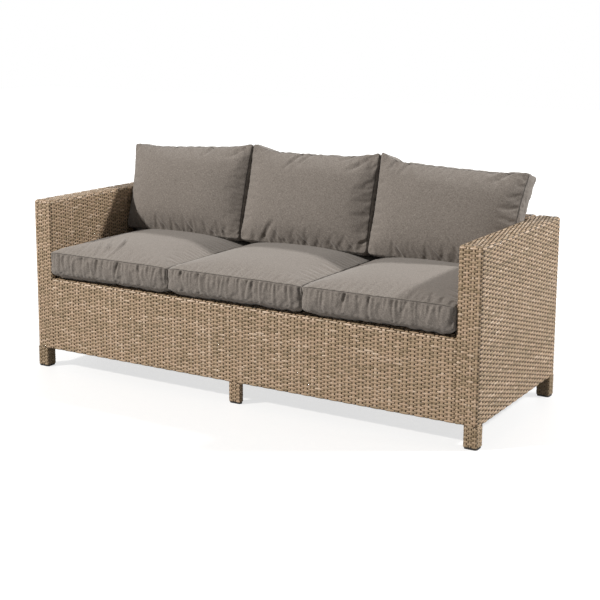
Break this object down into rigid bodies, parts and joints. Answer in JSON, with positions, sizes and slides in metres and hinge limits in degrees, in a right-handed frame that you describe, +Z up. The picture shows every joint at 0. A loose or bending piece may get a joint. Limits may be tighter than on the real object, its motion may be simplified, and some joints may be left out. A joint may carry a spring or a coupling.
{
  "type": "garden sofa",
  "caption": "Long woven rattan-look garden sofa: box arms and back, apron front, short legs, loose boxed seat cushions and leaning back cushions.",
  "frame": {"origin": "on the floor, under the middle of the sofa's length and depth", "axes": "+X along the length to the right as seen from the front, +Y to the back, +Z up; the seat faces -Y"},
  "size_m": [1.9, 0.728, 0.8976],
  "materials": {
    "weave": "flat half-round strands of mottled beige and tan, woven over one and under one",
    "tube": "welded tube, powder coated taupe",
    "glide": "dark moulded plastic",
    "bolt": "zinc plated socket head",
    "fabric": "grey-taupe melange polyester over foam"
  },
  "bodies": {
    "frame": {"back_bolt_left": "bolt", "back_bolt_right": "bolt", "back_bottom_ladder": "tube", "back_centre_upright": "tube", "back_left_ladder": "tube", "back_right_ladder": "tube", "back_seat_rail": "tube", "back_top_ladder": "tube", "back_weave": "weave", "front_apron_weave": "weave", "front_centre_foot_glide": "glide", "front_centre_leg_post": "tube", "front_centre_leg_weave": "weave", "front_left_foot_glide": "glide", "front_left_leg_weave": "weave", "front_right_foot_glide": "glide", "front_right_leg_weave": "weave", "left_arm_bolt_front": "bolt", "left_arm_bolt_rear": "bolt", "left_arm_bottom_ladder": "tube", "left_arm_front_leg_frame": "tube", "left_arm_rear_leg_frame": "tube", "left_arm_seat_rail": "tube", "left_arm_top_ladder": "tube", "left_arm_weave": "weave", "rear_centre_foot_glide": "glide", "rear_centre_leg_post": "tube", "rear_centre_leg_weave": "weave", "rear_left_foot_glide": "glide", "rear_left_leg_weave": "weave", "rear_right_foot_glide": "glide", "rear_right_leg_weave": "weave", "right_arm_bolt_front": "bolt", "right_arm_bolt_rear": "bolt", "right_arm_bottom_ladder": "tube", "right_arm_front_leg_frame": "tube", "right_arm_rear_leg_frame": "tube", "right_arm_seat_rail": "tube", "right_arm_top_ladder": "tube", "right_arm_weave": "weave", "seat_cross_bar_centre": "tube", "seat_cross_bar_left": "tube", "seat_cross_bar_right": "tube", "seat_deck_weave": "weave", "seat_front_centre_upright": "tube", "seat_front_left_upright": "tube", "seat_front_lower_rail": "tube", "seat_front_right_upright": "tube", "seat_front_top_rail": "tube", "seat_left_rail": "tube", "seat_rear_rail": "tube", "seat_right_rail": "tube"},
    "seat_cushion_left": {"seat_cushion_left": "fabric"},
    "back_cushion_left": {"back_cushion_left": "fabric"},
    "seat_cushion_centre": {"seat_cushion_centre": "fabric"},
    "back_cushion_centre": {"back_cushion_centre": "fabric"},
    "seat_cushion_right": {"seat_cushion_right": "fabric"},
    "back_cushion_right": {"back_cushion_right": "fabric"}
  },
  "joints": [
    {"name": "seat_cushion_left_lift", "type": "slide", "parent": "frame", "child": "seat_cushion_left", "axis": [0, 0, 1], "range_m": [0, 0.42]},
    {"name": "back_cushion_left_lift", "type": "slide", "parent": "seat_cushion_left", "child": "back_cushion_left", "axis": [0, 0, 1], "range_m": [0, 0.25]},
    {"name": "seat_cushion_centre_lift", "type": "slide", "parent": "frame", "child": "seat_cushion_centre", "axis": [0, 0, 1], "range_m": [0, 0.42]},
    {"name": "back_cushion_centre_lift", "type": "slide", "parent": "seat_cushion_centre", "child": "back_cushion_centre", "axis": [0, 0, 1], "range_m": [0, 0.25]},
    {"name": "seat_cushion_right_lift", "type": "slide", "parent": "frame", "child": "seat_cushion_right", "axis": [0, 0, 1], "range_m": [0, 0.42]},
    {"name": "back_cushion_right_lift", "type": "slide", "parent": "seat_cushion_right", "child": "back_cushion_right", "axis": [0, 0, 1], "range_m": [0, 0.25]}
  ]
}
